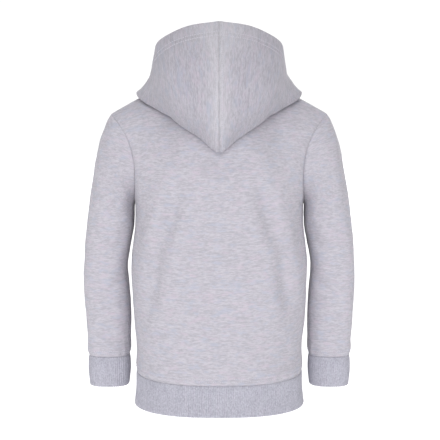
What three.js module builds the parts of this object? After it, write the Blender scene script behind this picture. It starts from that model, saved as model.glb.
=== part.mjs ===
// Toddler's pullover hoodie, filled out as if worn, with the hood down on the back.
// Millimetres. x runs to the wearer's left, y to the wearer's back, z up.
// The origin lies midway between the two points where the shoulder seams meet the neck.
import * as THREE from "three";

// Cloth
const FLEECE = 2.2;
const RIB = 3.4;
const TURNED_HEM = 3.8;
const SEAM = 0.3;

// Heights of the body
const ARMPIT_Z = -165;
const HEM_SEAM_Z = -399;
const HEM_DIP = 5;
const HEM_EDGE_Z = -444.5;
const CUFF_SEAM_Z = -382.5;
const CUFF_EDGE_Z = -424;

// Shoulder and neck
const NECK_HALF = 62;
const NECK_POINT_Z = 2;
const SHOULDER_HALF = 149;
const SHOULDER_TIP_Z = -41.5;
const SHOULDER_ROUND = 2.5;
const NECK_SHARE = 0.5;

// Armhole
const ARMPIT_HALF = 117;
const ARMHOLE_SWEEP = 3.5;
const ARMHOLE_PULL = 1.3;

// Squareness of the body's cross section: 2 is an ellipse, higher is squarer
const SQUARENESS = 2.4;
const SLEEVE_SQUARE = 0.6;

// Body from the hem seam to the armpit: half width, and depth to the back and to the front
const BODY = [
  { z: -399, half: 116.3, back: 95, front: 96 },
  { z: -362, half: 116.5, back: 95, front: 97 },
  { z: -328, half: 119.2, back: 95.5, front: 98 },
  { z: -288, half: 121.2, back: 96, front: 99 },
  { z: -247, half: 122.4, back: 97, front: 100 },
  { z: -220, half: 119.4, back: 97.5, front: 100 },
  { z: -195, half: 116.9, back: 98, front: 100 },
  { z: -165, half: 117, back: 98, front: 100 },
];

// What differs between back and front. Their centre lines run from armpit height (0) to the neck (1).
const BACK = {
  side: 1,
  depth: "back",
  neckDepth: 50,
  neckDrop: 16,
  armholeDepth: 50,
  armholeScoop: 4,
  centre: [
    { at: 0, y: 98, z: -165 },
    { at: 0.25, y: 97, z: -125 },
    { at: 0.5, y: 91, z: -84 },
    { at: 0.75, y: 76, z: -45 },
    { at: 1, y: 50, z: -14 },
  ],
};
const FRONT = {
  side: -1,
  depth: "front",
  neckDepth: 62,
  neckDrop: 60,
  armholeDepth: 46,
  armholeScoop: 8,
  centre: [
    { at: 0, y: 100, z: -165 },
    { at: 0.35, y: 99, z: -126 },
    { at: 0.7, y: 86, z: -88 },
    { at: 1, y: 62, z: -58 },
  ],
};

// Sleeve sections from armhole to cuff: outer and inner side, half depth, and how far it swings forward
const SLEEVE = [
  { at: 0, outX: 149.5, outZ: -41.5, inX: 117.6, inZ: -165, depth: 50, forward: 0 },
  { at: 1, outX: 158, outZ: -57, inX: 118.6, inZ: -168, depth: 50, forward: 0 },
  { at: 2, outX: 168.5, outZ: -92, inX: 118.8, inZ: -175, depth: 50, forward: 0 },
  { at: 3, outX: 175, outZ: -132, inX: 119, inZ: -186, depth: 49, forward: 1 },
  { at: 4, outX: 180.5, outZ: -166, inX: 119.8, inZ: -200, depth: 46, forward: 2 },
  { at: 5, outX: 185.5, outZ: -200, inX: 123.5, inZ: -219, depth: 43, forward: 4 },
  { at: 6, outX: 189.8, outZ: -246, inX: 128.8, inZ: -252, depth: 39, forward: 7 },
  { at: 7, outX: 190.8, outZ: -286, inX: 126.8, inZ: -288, depth: 36, forward: 10 },
  { at: 8, outX: 189, outZ: -325, inX: 125.2, inZ: -325, depth: 33, forward: 13 },
  { at: 9, outX: 187, outZ: -358, inX: 126, inZ: -358, depth: 30, forward: 15 },
  { at: 10, outX: 185.6, outZ: -382.3, inX: 127.6, inZ: -382.3, depth: 27.5, forward: 16 },
];
const ARMHOLE_FADE = 3;

// Hood, from the throat (0) past the shoulder to the nape (1). The fold is where the cloth
// turns up again: fold is its place across the panel, over its place past the shoulder seam,
// to the back where positive. bulge pulls the outer wall, rim is the face opening's edge.
const SHOULDER_AT = 0.5;
const HOOD = [
  { at: 0, fold: 0, over: -0.07, radius: 3, roll: 4, bulge: [0, -92, -66], rim: [0, -80, -42] },
  { at: 0.17, fold: 0.3, over: -0.14, radius: 4, roll: 8, bulge: [64, -86, -44], rim: [38, -58, -22] },
  { at: 0.34, fold: 0.6, over: -0.14, radius: 5, roll: 10, bulge: [102, -44, -14], rim: [66, -22, 2] },
  { at: 0.5, fold: 0.74, over: 0, radius: 5, roll: 12, bulge: [101, 12, -4], rim: [79, 18, 22] },
  { at: 0.6, fold: 0.7, over: 0.15, radius: 6, roll: 13, bulge: [96, 58, -6], rim: [85, 46, 36] },
  { at: 0.7, fold: 0.56, over: 0.28, radius: 6, roll: 13, bulge: [88, 106, -8], rim: [82.5, 72, 48.5] },
  { at: 0.8, fold: 0.37, over: 0.33, radius: 6, roll: 14, bulge: [74, 150, -15], rim: [66, 90, 59] },
  { at: 0.9, fold: 0.18, over: 0.41, radius: 6, roll: 14, bulge: [42, 178, -26], rim: [38, 100, 69.5] },
  { at: 1, fold: 0, over: 0.52, radius: 6, roll: 14, bulge: [0, 190, -32], rim: [0, 104, 74.5] },
];
const HOOD_REST = 2.4;
const ROLL_REACH = 7;
const ROLL_LENGTH = 30;
const TURNED_HEM_SHARE = 0.88;
const SHOULDER_BLEND = 0.12;
const FOLD_TURN = (115 * Math.PI) / 180;
const ROLL_UPRIGHT = 0.4;
const TINY = 1e-6;

// Rings of the hem band and of a cuff, from the seam down: height, swell over the seam's outline
const HEM_BAND = [
  { down: 0, swell: 0.6 },
  { down: 0.5, swell: 0.8 },
  { down: 1, swell: 3 },
];
const CUFF = [
  { down: 0, swell: 0.4 },
  { down: 0.5, swell: 1 },
  { down: 1, swell: -1 },
];

// Steps of each grid
const ACROSS = 28;
const BODY_STEPS = 6;
const YOKE_STEPS = 10;
const SLEEVE_STEPS = 10;
const SLEEVE_ROUND = 2 * YOKE_STEPS;
const HEM_ROUND = 2 * ACROSS;
const HOOD_STEPS = 14;
const ROLL_STEPS = 3;
const REST_STEPS = 4;
const FOLD_STEPS = 4;
const WALL_SHARES = [0.15, 0.32, 0.5, 0.68, 0.86, 0.89, 1];

const COLOURS = { fleece: 0xc7c4cf, hood: 0xbab7c3, rib: 0xbebeca };

const point = (x, y, z) => new THREE.Vector3(x, y, z);
const UP = point(0, 0, 1);
const mix = THREE.MathUtils.lerp;
const steps = (count) => Array.from({ length: count + 1 }, (_, i) => i / count);
const signedPower = (value, power) => Math.sign(value) * Math.abs(value) ** power;

// A table's number columns at a place between its rows, on a smooth curve through them.
function rowAt(rows, key, place) {
  const last = rows.length - 1;
  const next = rows.findIndex((row) => row[key] >= place);
  const i = Math.max((next < 0 ? last : next) - 1, 0);
  const span = rows[i + 1][key] - rows[i][key];
  const t = THREE.MathUtils.clamp((place - rows[i][key]) / span, 0, 1);
  const before = Math.max(i - 1, 0);
  const after = Math.min(i + 2, last);
  const curve = (column) => {
    const value = (row) => column(rows[row]);
    const slopeIn = (value(i + 1) - value(before)) / (rows[i + 1][key] - rows[before][key]);
    const slopeOut = (value(after) - value(i)) / (rows[after][key] - rows[i][key]);
    const rise = t * t * (3 - 2 * t);
    const enter = t * (1 - t) * (1 - t) * span * slopeIn;
    const leave = t * t * (t - 1) * span * slopeOut;
    return mix(value(i), value(i + 1), rise) + enter + leave;
  };
  const found = {};
  for (const name of Object.keys(rows[0])) {
    found[name] = Array.isArray(rows[0][name])
      ? point(...[0, 1, 2].map((axis) => curve((row) => row[name][axis])))
      : curve((row) => row[name]);
  }
  return found;
}

// ---------- Body ----------

function bodyRing(half, depth, side, across, z) {
  const turn = (across * Math.PI) / 2;
  const power = 2 / SQUARENESS;
  return point(
    half * signedPower(Math.sin(turn), power),
    side * depth * Math.abs(Math.cos(turn)) ** power,
    z,
  );
}

function neckline(panel, share) {
  const turn = (share * Math.PI) / 2;
  return point(
    NECK_HALF * Math.sin(turn),
    panel.side * panel.neckDepth * Math.cos(turn),
    NECK_POINT_Z - panel.neckDrop * Math.cos(turn),
  );
}

function shoulderSeam(share) {
  return point(
    mix(NECK_HALF, SHOULDER_HALF, share),
    0,
    mix(NECK_POINT_Z, SHOULDER_TIP_Z, share) + SHOULDER_ROUND * Math.sin(share * Math.PI),
  );
}

// The armhole seam, by its angle from the shoulder tip (0) round to the armpit (half a turn).
function armhole(panel, turn) {
  const up = (1 + Math.cos(turn)) / 2;
  const sweep = (SHOULDER_HALF - ARMPIT_HALF) * up ** ARMHOLE_SWEEP;
  return point(
    ARMPIT_HALF + sweep - panel.armholeScoop * Math.sin(turn) ** 2,
    panel.side * panel.armholeDepth * Math.sin(turn),
    mix(ARMPIT_Z, SHOULDER_TIP_Z, up),
  );
}

// A panel's outer face. across runs from side seam (-1) to side seam (1);
// up from hem seam (-1) past armpit height (0) to the neck and shoulder seams (1).
function panelPoint(panel, across, up) {
  if (up <= 0) {
    const z = mix(HEM_SEAM_Z, ARMPIT_Z, up + 1);
    const ring = rowAt(BODY, "z", z);
    const dip = HEM_DIP * Math.cos((across * Math.PI) / 2) * up ** 4;
    return bodyRing(ring.half, ring[panel.depth], panel.side, across, z - dip);
  }
  const away = Math.abs(across);
  const armpitRow = (share) => {
    const ring = BODY[BODY.length - 1];
    return bodyRing(ring.half, ring[panel.depth], panel.side, share, ARMPIT_Z);
  };
  const topRow = (share) =>
    share <= NECK_SHARE
      ? neckline(panel, share / NECK_SHARE)
      : shoulderSeam((share - NECK_SHARE) / (1 - NECK_SHARE));
  const straight = (share) => armpitRow(share).lerp(topRow(share), up);
  const centre = rowAt(panel.centre, "at", up);
  const centrePull = point(0, panel.side * centre.y, centre.z).sub(straight(0));
  const armholePull = armhole(panel, (1 - up) * Math.PI).sub(straight(1));
  const found = straight(away)
    .addScaledVector(armholePull, away ** ARMHOLE_PULL)
    .addScaledVector(centrePull, 1 - away * away);
  found.x *= Math.sign(across);
  return found;
}

// ---------- Walls of cloth ----------

// The outward normal at each point of a grid. sense is 1 where columns x rows face outwards.
function gridNormals(grid, round, sense) {
  const lastRow = grid.length - 1;
  const lastColumn = grid[0].length - 1;
  return grid.map((row, i) =>
    row.map((_, j) => {
      const wrap = (k) => (k + lastColumn + 1) % (lastColumn + 1);
      const left = round ? wrap(j - 1) : Math.max(j - 1, 0);
      const right = round ? wrap(j + 1) : Math.min(j + 1, lastColumn);
      const along = row[right].clone().sub(row[left]);
      const upwards = grid[Math.min(i + 1, lastRow)][j].clone().sub(grid[Math.max(i - 1, 0)][j]);
      return along.cross(upwards).multiplyScalar(sense).normalize();
    }),
  );
}

// One closed wall behind a grid of outer points, thick at each row as asked.
// square(normal, i, j) may turn a normal, so that pieces that meet are cut square at the seam.
function wall(grid, { round = false, sense = 1, thick = () => FLEECE, square = (n) => n }) {
  const columns = grid[0].length;
  const normals = gridNormals(grid, round, sense);
  const inner = grid.map((row, i) =>
    row.map((at, j) => at.clone().addScaledVector(square(normals[i][j], i, j).normalize(), -thick(i))),
  );
  const vertices = [...grid.flat(), ...inner.flat()];
  const count = grid.length * columns;
  const faces = [];
  const face = (a, b, c) => faces.push(...(sense > 0 ? [a, b, c] : [a, c, b]));
  const rim = (from, to) => {
    face(to, from, from + count);
    face(to, from + count, to + count);
  };
  const lastCell = round ? columns : columns - 1;
  for (let i = 0; i < grid.length - 1; i++) {
    for (let j = 0; j < lastCell; j++) {
      const a = i * columns + j;
      const b = i * columns + ((j + 1) % columns);
      const c = b + columns;
      const d = a + columns;
      face(a, b, c);
      face(a, c, d);
      face(a + count, c + count, b + count);
      face(a + count, d + count, c + count);
      if (i === 0) rim(a, b);
      if (i === grid.length - 2) rim(c, d);
      if (!round && j === 0) rim(d, a);
      if (!round && j === lastCell - 1) rim(b, c);
    }
  }
  const geometry = new THREE.BufferGeometry();
  geometry.setAttribute(
    "position",
    new THREE.Float32BufferAttribute(vertices.flatMap((v) => v.toArray()), 3),
  );
  geometry.setIndex(faces);
  geometry.computeVertexNormals();
  return geometry;
}

function cloth(name, geometry, colour, roughness = 0.92) {
  const material = new THREE.MeshStandardMaterial({ color: colour, roughness, metalness: 0 });
  const mesh = new THREE.Mesh(geometry, material);
  mesh.name = name;
  return mesh;
}

// ---------- Pieces ----------

// The direction from a point of the armhole seam straight out of the tube it opens.
function armholeOut(at, side) {
  const middle = (ARMPIT_Z + SHOULDER_TIP_Z) / 2;
  return point(side * 0.3 * Math.sign(at.z - middle), at.y, at.z - middle);
}

function panelPiece(name, panel) {
  const ups = [
    ...steps(BODY_STEPS).map((share) => share - 1),
    ...steps(YOKE_STEPS).slice(1),
  ];
  const acrosses = steps(ACROSS).map((share) => share * 2 - 1);
  const grid = ups.map((up) => acrosses.map((across) => panelPoint(panel, across, up)));
  grid.forEach((row) => row.forEach((at) => (at.y += (panel.side * SEAM) / 2)));
  grid[0].forEach((at) => (at.z += SEAM / 2));
  const square = (normal, i, j) => {
    const up = ups[i];
    const across = acrosses[j];
    if (Math.abs(across) === 1 && up > 0) return armholeOut(grid[i][j], Math.sign(across));
    if (Math.abs(across) === 1) return point(across, 0, 0);
    if (up === 1 && Math.abs(across) > NECK_SHARE - TINY) return point(Math.sign(across) * 0.45, 0, 1);
    if (up === -1) return point(normal.x, normal.y, 0);
    return normal;
  };
  return cloth(name, wall(grid, { sense: -panel.side, square }), COLOURS.fleece);
}

// A sine or cosine that makes a section squarer than an ellipse's, at powers over 2.
function squared(value, power) {
  return Math.sign(value) * Math.abs(value) ** (2 / power);
}

function sleeveRing(section, turn) {
  const midX = (section.outX + section.inX) / 2;
  const midZ = (section.outZ + section.inZ) / 2;
  const panel = Math.sin(turn) >= 0 ? BACK : FRONT;
  const depth = section.depth * mix(1, panel.armholeDepth / BACK.armholeDepth, armholeShare(section.at));
  const power = 2 + SLEEVE_SQUARE * Math.min(section.at / ARMHOLE_FADE, 1);
  const across = squared(Math.cos(turn), power);
  return point(
    midX + ((section.outX - section.inX) / 2) * across,
    depth * squared(Math.sin(turn), power) - section.forward,
    midZ + ((section.outZ - section.inZ) / 2) * across,
  );
}

// How much of the armhole seam's own curve is left this far down the sleeve.
function armholeShare(at) {
  return Math.max(1 - at / ARMHOLE_FADE, 0) ** 2;
}

function sleevePoint(at, turn) {
  const section = rowAt(SLEEVE, "at", at);
  const ring = sleeveRing(section, turn);
  const panel = Math.sin(turn) >= 0 ? BACK : FRONT;
  const seam = armhole(panel, Math.abs(turn));
  const flat = sleeveRing(SLEEVE[0], turn);
  ring.x += (seam.x + 0.6 - flat.x) * armholeShare(at);
  return ring;
}

function turns(count) {
  return steps(count).slice(0, count).map((share) => mix(-Math.PI, Math.PI, share));
}

function sleevePiece(name, side) {
  const ats = steps(SLEEVE_STEPS).map((share) => share * (SLEEVE.length - 1));
  const grid = ats.map((at) =>
    turns(SLEEVE_ROUND).map((turn) => {
      const found = sleevePoint(at, turn);
      found.x *= side;
      return found;
    }),
  );
  const square = (normal, i, j) => {
    if (i === 0) return armholeOut(grid[0][j], side);
    if (i === SLEEVE_STEPS) return point(normal.x, normal.y, 0);
    return normal;
  };
  return cloth(name, wall(grid, { round: true, sense: -side, square }), COLOURS.fleece);
}

function cuffPiece(name, side) {
  const seam = SLEEVE[SLEEVE.length - 1];
  const grid = CUFF.map((ring) =>
    turns(SLEEVE_ROUND).map((turn) => {
      const found = sleeveRing(seam, turn);
      found.x = side * (found.x + ring.swell * Math.cos(turn));
      found.y += ring.swell * Math.sin(turn);
      found.z = mix(CUFF_SEAM_Z - SEAM / 2, CUFF_EDGE_Z, ring.down);
      return found;
    }),
  );
  const shape = wall(grid, { round: true, sense: -side, thick: () => RIB });
  return cloth(name, shape, COLOURS.rib);
}

function hemBandPiece(name) {
  const seam = BODY[0];
  const grid = HEM_BAND.map((ring) =>
    turns(HEM_ROUND).map((turn) => {
      const behind = Math.abs(turn) <= Math.PI / 2;
      const side = behind ? 1 : -1;
      const depth = (behind ? seam.back : seam.front) + ring.swell;
      const across = (behind ? turn : Math.sign(turn) * (Math.PI - Math.abs(turn))) / (Math.PI / 2);
      const top = HEM_SEAM_Z - SEAM / 2 - HEM_DIP * Math.abs(Math.cos(turn));
      const z = mix(top, HEM_EDGE_Z, ring.down);
      return bodyRing(seam.half + ring.swell, depth, side, across, z);
    }),
  );
  return cloth(name, wall(grid, { round: true, sense: 1, thick: () => RIB }), COLOURS.rib);
}

// ---------- Hood ----------

// A point of the body under the hood, on the back where over is positive, else on the front.
function underHood(across, over) {
  return panelPoint(over >= 0 ? BACK : FRONT, across, 1 - Math.abs(over));
}

// The direction straight out of the body there, turned gradually over the shoulder seam.
function outOfBody(across, over) {
  const step = 0.01;
  const up = Math.min(1 - Math.abs(over), 1 - step);
  const out = (panel) => {
    const sideways = panelPoint(panel, across + step, up).sub(panelPoint(panel, across - step, up));
    const upwards = panelPoint(panel, across, up + step).sub(panelPoint(panel, across, up - step));
    return upwards.cross(sideways).multiplyScalar(panel.side).normalize();
  };
  const behind = THREE.MathUtils.smoothstep(over, -SHOULDER_BLEND, SHOULDER_BLEND);
  return out(FRONT).lerp(out(BACK), behind).normalize();
}

// The hood's cloth at one place along the neck seam, as points of its face: over the roll,
// down the body, round the fold and up the outer wall to the rim.
function hoodSection(place) {
  const row = rowAt(HOOD, "at", place);
  const behind = place >= SHOULDER_AT;
  const seamShare = behind ? (1 - place) / (1 - SHOULDER_AT) : place / SHOULDER_AT;
  const across = (share) => mix(NECK_SHARE * seamShare, row.fold, share);
  const over = (share) => mix(behind ? 0 : -TINY, row.over, share);
  const onBody = (share) => underHood(across(share), over(share));
  const raised = (share, height) => {
    const upright = 1 - THREE.MathUtils.smoothstep(share, 0, ROLL_UPRIGHT);
    const out = outOfBody(across(share), over(share)).lerp(UP, upright).normalize();
    return onBody(share).addScaledVector(out, height);
  };
  const length = onBody(1).distanceTo(onBody(0));
  const reach = ROLL_REACH * Math.min(length / ROLL_LENGTH, 1);
  const found = [];
  for (const share of steps(ROLL_STEPS)) {
    const turn = (share * Math.PI) / 2;
    const along = (reach * (1 - Math.cos(turn))) / length;
    found.push(raised(along, SEAM + row.roll * Math.sin(turn)));
  }
  for (const share of steps(ROLL_STEPS - 1).slice(1)) {
    const fall = (1 + Math.cos(share * Math.PI)) / 2;
    const along = (reach * (1 + 2 * share)) / length;
    found.push(raised(along, mix(HOOD_REST, SEAM + row.roll, fall)));
  }
  for (const share of steps(REST_STEPS).slice(1)) {
    found.push(raised(mix((3 * reach) / length, 1, share), HOOD_REST));
  }
  const out = outOfBody(row.fold, row.over);
  const onward = onBody(1).sub(onBody(0.9)).normalize();
  const middle = onBody(1).addScaledVector(out, HOOD_REST + row.radius);
  for (const share of steps(FOLD_STEPS).slice(1)) {
    const turn = share * FOLD_TURN;
    const at = middle.clone().addScaledVector(out, -row.radius * Math.cos(turn));
    found.push(at.addScaledVector(onward, row.radius * Math.sin(turn)));
  }
  const wallStart = found[found.length - 1];
  for (const share of WALL_SHARES) {
    const low = wallStart.clone().lerp(row.bulge, share);
    found.push(low.lerp(row.bulge.clone().lerp(row.rim, share), share));
  }
  return found;
}

function hoodPiece(name, side) {
  const columns = steps(HOOD_STEPS).map(hoodSection);
  const grid = columns[0].map((_, i) =>
    columns.map((column) => point(side * (column[i].x + SEAM / 2), column[i].y, column[i].z)),
  );
  const hemRows = WALL_SHARES.filter((share) => share > TURNED_HEM_SHARE).length;
  const shape = wall(grid, {
    sense: side,
    thick: (i) => (i >= grid.length - hemRows ? TURNED_HEM : FLEECE),
    square: (normal, i, j) => point(j % HOOD_STEPS === 0 ? 0 : normal.x, normal.y, normal.z),
  });
  return cloth(name, shape, COLOURS.hood);
}

// ---------- The hoodie ----------

const hoodie = new THREE.Group();
hoodie.add(
  panelPiece("back_panel", BACK),
  panelPiece("front_panel", FRONT),
  hemBandPiece("hem_band"),
);
for (const [suffix, side] of [["left", 1], ["right", -1]]) {
  hoodie.add(
    sleevePiece(`sleeve_${suffix}`, side),
    cuffPiece(`cuff_${suffix}`, side),
    hoodPiece(`hood_${suffix}`, side),
  );
}

export default hoodie;
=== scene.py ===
"""A toddler's pullover hoodie, filled out as worn, with the hood lying down on the back.

Tables and sizes of the garment are in millimetres and become metres when a mesh is made.
x runs to the wearer's left, y to the wearer's back and z up, from the point midway between
the two ends of the neckline on the shoulder seams.
"""

import logging
import math
from dataclasses import dataclass, field
from enum import Enum
from typing import Any, Callable, Optional, Sequence, Union

import bpy
import numpy as np
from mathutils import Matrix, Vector


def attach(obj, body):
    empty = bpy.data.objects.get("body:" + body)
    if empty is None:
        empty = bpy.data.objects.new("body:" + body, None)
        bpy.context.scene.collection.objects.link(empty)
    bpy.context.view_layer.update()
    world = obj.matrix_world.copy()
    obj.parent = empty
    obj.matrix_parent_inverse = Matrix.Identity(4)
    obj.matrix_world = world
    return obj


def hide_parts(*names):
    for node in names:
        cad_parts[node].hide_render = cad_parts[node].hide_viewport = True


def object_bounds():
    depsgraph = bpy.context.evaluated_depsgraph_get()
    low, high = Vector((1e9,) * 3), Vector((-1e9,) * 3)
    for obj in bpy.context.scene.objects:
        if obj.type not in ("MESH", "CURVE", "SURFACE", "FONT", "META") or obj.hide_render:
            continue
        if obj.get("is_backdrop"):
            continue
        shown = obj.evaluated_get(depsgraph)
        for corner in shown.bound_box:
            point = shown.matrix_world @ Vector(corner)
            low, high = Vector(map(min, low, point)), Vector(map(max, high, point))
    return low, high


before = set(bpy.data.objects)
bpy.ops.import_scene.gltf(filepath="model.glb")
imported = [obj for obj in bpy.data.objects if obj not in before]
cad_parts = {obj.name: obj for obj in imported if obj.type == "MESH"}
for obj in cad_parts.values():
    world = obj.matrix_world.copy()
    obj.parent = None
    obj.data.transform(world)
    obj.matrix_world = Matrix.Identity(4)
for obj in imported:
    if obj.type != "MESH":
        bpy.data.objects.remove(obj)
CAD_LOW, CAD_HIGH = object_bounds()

LOG = logging.getLogger("hoodie")
MM = 0.001
BODY = "root"
FLAT_UV = "flat"
PALE = "pale"

Grid = np.ndarray
Colour = tuple[float, float, float]
Number = Union[float, np.ndarray]

WHITE = (1.0, 1.0, 1.0, 1.0)
LOOP_SHADOW = (0.25, 0.25, 0.27, 1.0)


class Course(Enum):
    """Which way the rows of knitting run on a piece's flat coordinates."""

    ACROSS = "across"
    ALONG = "along"


class Edge(Enum):
    """How a wall of cloth ends: cut square inside a seam, or folded over in a round edge."""

    SEAM = "seam"
    FOLDED = "folded"


# ---------------------------------------------------------------------------
# Sizes shared by the pieces
# ---------------------------------------------------------------------------

FLEECE = 2.2
RIB = 3.4
TURNED_HEM = 3.8
SEAM = 0.08

# Rows of stitches, by their distance from a seam, and how far they stand off the cloth
HEM_STITCHES = (5.6, 9.6)
CUFF_STITCHES = (5.0, 8.6)
CENTRE_STITCH = 3.8
STITCH_LIFT = 0.15

ARMPIT_Z = -165.0
HEM_SEAM_Z = -399.0
HEM_DIP = 5.0
HEM_EDGE_Z = -444.5
CUFF_SEAM_Z = -382.5
CUFF_EDGE_Z = -424.0

NECK_HALF = 62.0
NECK_POINT_Z = 2.0
SHOULDER_HALF = 149.0
SHOULDER_TIP_Z = -41.5
SHOULDER_ROUND = 2.5
NECK_SHARE = 0.5

ARMPIT_HALF = 117.0
ARMHOLE_SWEEP = 3.5
ARMHOLE_PULL = 1.3
ARMHOLE_FADE = 3.0
SQUARENESS = 2.4
SLEEVE_SQUARE = 0.6

SHOULDER_AT = 0.5
HOOD_REST = 2.4
ROLL_REACH = 7.0
ROLL_LENGTH = 30.0
ROLL_UPRIGHT = 0.4
FOLD_TURN = math.radians(115)
SHOULDER_BLEND = 0.12
TINY = 1e-6


class Table:
    """Rows of named sizes, read between the rows on a smooth curve through them."""

    def __init__(self, names: str, rows: Sequence[Sequence[float]]) -> None:
        """Args:
        names: the columns' names, the first of which says where each row lies.
        rows: one tuple of numbers a row, rising in the first column.
        """
        values = np.array(rows, float).T
        self.columns = dict(zip(names.split(), values))
        self.places = values[0]

    def at(self, places: Number, column: str) -> np.ndarray:
        """One column at any places.

        Args:
            places: where to read it.
            column: the column's name.
        Returns:
            An array shaped as places.
        """
        keys, values = self.places, self.columns[column]
        places = np.clip(np.asarray(places, float), keys[0], keys[-1])
        slopes = np.empty_like(values)
        slopes[1:-1] = (values[2:] - values[:-2]) / (keys[2:] - keys[:-2])
        slopes[0] = (values[1] - values[0]) / (keys[1] - keys[0])
        slopes[-1] = (values[-1] - values[-2]) / (keys[-1] - keys[-2])
        i = np.clip(np.searchsorted(keys, places, side="left") - 1, 0, len(keys) - 2)
        span = keys[i + 1] - keys[i]
        t = (places - keys[i]) / span
        level = values[i] + (values[i + 1] - values[i]) * t * t * (3 - 2 * t)
        bend = t * (1 - t) * ((1 - t) * slopes[i] - t * slopes[i + 1])
        return level + bend * span


BODY_ROWS = Table(
    "z half back front",
    (
        (-399, 116.3, 95, 96),
        (-362, 116.5, 95, 97),
        (-328, 119.2, 95.5, 98),
        (-288, 121.2, 96, 99),
        (-247, 122.4, 97, 100),
        (-220, 119.4, 97.5, 100),
        (-195, 116.9, 98, 100),
        (-165, 117, 98, 100),
    ),
)

SLEEVE_ROWS = Table(
    "at out_x out_z in_x in_z depth forward",
    (
        (0, 149.5, -41.5, 117.6, -165, 50, 0),
        (1, 158, -57, 118.6, -168, 50, 0),
        (2, 168.5, -92, 118.8, -175, 50, 0),
        (3, 175, -132, 119, -186, 49, 1),
        (4, 180.5, -166, 119.8, -200, 46, 2),
        (5, 185.5, -200, 123.5, -219, 43, 4),
        (6, 189.8, -246, 128.8, -252, 39, 7),
        (7, 190.8, -286, 126.8, -288, 36, 10),
        (8, 189, -325, 125.2, -325, 33, 13),
        (9, 187, -358, 126, -358, 30, 15),
        (10, 185.6, -382.3, 127.6, -382.3, 27.5, 16),
    ),
)

HOOD_ROWS = Table(
    "at fold over radius roll bulge_x bulge_y bulge_z rim_x rim_y rim_z",
    (
        (0, 0, -0.07, 3, 4, 0, -92, -66, 0, -80, -42),
        (0.17, 0.3, -0.14, 4, 8, 64, -86, -44, 38, -58, -22),
        (0.34, 0.6, -0.14, 5, 10, 102, -44, -14, 66, -22, 2),
        (0.5, 0.74, 0, 5, 12, 101, 12, -4, 79, 18, 22),
        (0.6, 0.7, 0.15, 6, 13, 96, 58, -6, 85, 46, 36),
        (0.7, 0.56, 0.28, 6, 13, 88, 106, -8, 82.5, 72, 48.5),
        (0.8, 0.37, 0.33, 6, 14, 74, 150, -15, 66, 90, 59),
        (0.9, 0.18, 0.41, 6, 14, 42, 178, -26, 38, 100, 69.5),
        (1, 0, 0.52, 6, 14, 0, 190, -32, 0, 104, 74.5),
    ),
)


@dataclass(frozen=True)
class PanelCut:
    """What differs between the back and the front of the body."""

    side: int
    depth: str
    neck_depth: float
    neck_drop: float
    armhole_depth: float
    armhole_scoop: float
    centre: Table


BACK = PanelCut(
    side=1,
    depth="back",
    neck_depth=50,
    neck_drop=16,
    armhole_depth=50,
    armhole_scoop=4,
    centre=Table(
        "at y z",
        ((0, 98, -165), (0.25, 97, -125), (0.5, 91, -84), (0.75, 76, -45), (1, 50, -14)),
    ),
)
FRONT = PanelCut(
    side=-1,
    depth="front",
    neck_depth=62,
    neck_drop=60,
    armhole_depth=46,
    armhole_scoop=8,
    centre=Table("at y z", ((0, 100, -165), (0.35, 99, -126), (0.7, 86, -88), (1, 62, -58))),
)


@dataclass(frozen=True)
class Crease:
    """A soft trough in the cloth, with a low ridge on each side, in a piece's flat millimetres."""

    start: tuple[float, float]
    end: tuple[float, float]
    width: float
    depth: float
    bow: float = 0.0

    def height(self, flat: np.ndarray) -> np.ndarray:
        """How far it lifts the cloth at flat coordinates.

        Args:
            flat: an array of flat coordinates, in millimetres, two numbers a point.
        Returns:
            The lift in millimetres at each point, negative in the trough.
        """
        start, end = np.array(self.start), np.array(self.end)
        run = end - start
        length = float(np.linalg.norm(run))
        run = run / length
        offset = flat - start
        share = (offset @ run) / length
        bowed = self.bow * np.sin(np.pi * np.clip(share, 0, 1))
        away = offset @ np.array([-run[1], run[0]]) - bowed
        fade = np.sin(np.pi * np.clip(share * 0.86 + 0.07, 0, 1)) ** 1.4
        fade = fade * (share > -0.08) * (share < 1.08)
        trough = np.exp(-((away / self.width) ** 2))
        ridge = np.exp(-(((np.abs(away) - 1.9 * self.width) / self.width) ** 2))
        return self.depth * fade * (0.32 * ridge - trough)


# ---------------------------------------------------------------------------
# The garment's form
# ---------------------------------------------------------------------------


def mix(a: Any, b: Any, share: Any) -> Any:
    """The value between a and b at that share of the way."""
    return a + (b - a) * share


def ease(low: float, high: float, value: Number) -> np.ndarray:
    """0 below low, 1 above high and smooth between."""
    t = np.clip((np.asarray(value, float) - low) / (high - low), 0, 1)
    return t * t * (3 - 2 * t)


def stack(x: Number, y: Number, z: Number) -> np.ndarray:
    """Points from three coordinates, broadcast together."""
    return np.stack(np.broadcast_arrays(x, y, z), -1)


def unit(vectors: np.ndarray) -> np.ndarray:
    """Vectors at length 1."""
    return vectors / np.maximum(np.linalg.norm(vectors, axis=-1, keepdims=True), 1e-9)


def ripple(flat: np.ndarray, size: float, seed: int) -> np.ndarray:
    """Gentle unevenness between about -1 and 1 over flat coordinates.

    Args:
        flat: flat coordinates in millimetres.
        size: the usual distance between high spots, in millimetres.
        seed: picks one pattern.
    Returns:
        One number a point.
    """
    dice = np.random.default_rng(seed)
    total = np.zeros(flat.shape[:-1])
    waves = 7
    for _ in range(waves):
        turn, phase = dice.uniform(0, 2 * np.pi, 2)
        pitch = size * dice.uniform(0.7, 1.6)
        along = flat[..., 0] * np.cos(turn) + flat[..., 1] * np.sin(turn)
        total += np.cos(2 * np.pi * along / pitch + phase)
    return total / waves**0.5


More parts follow.
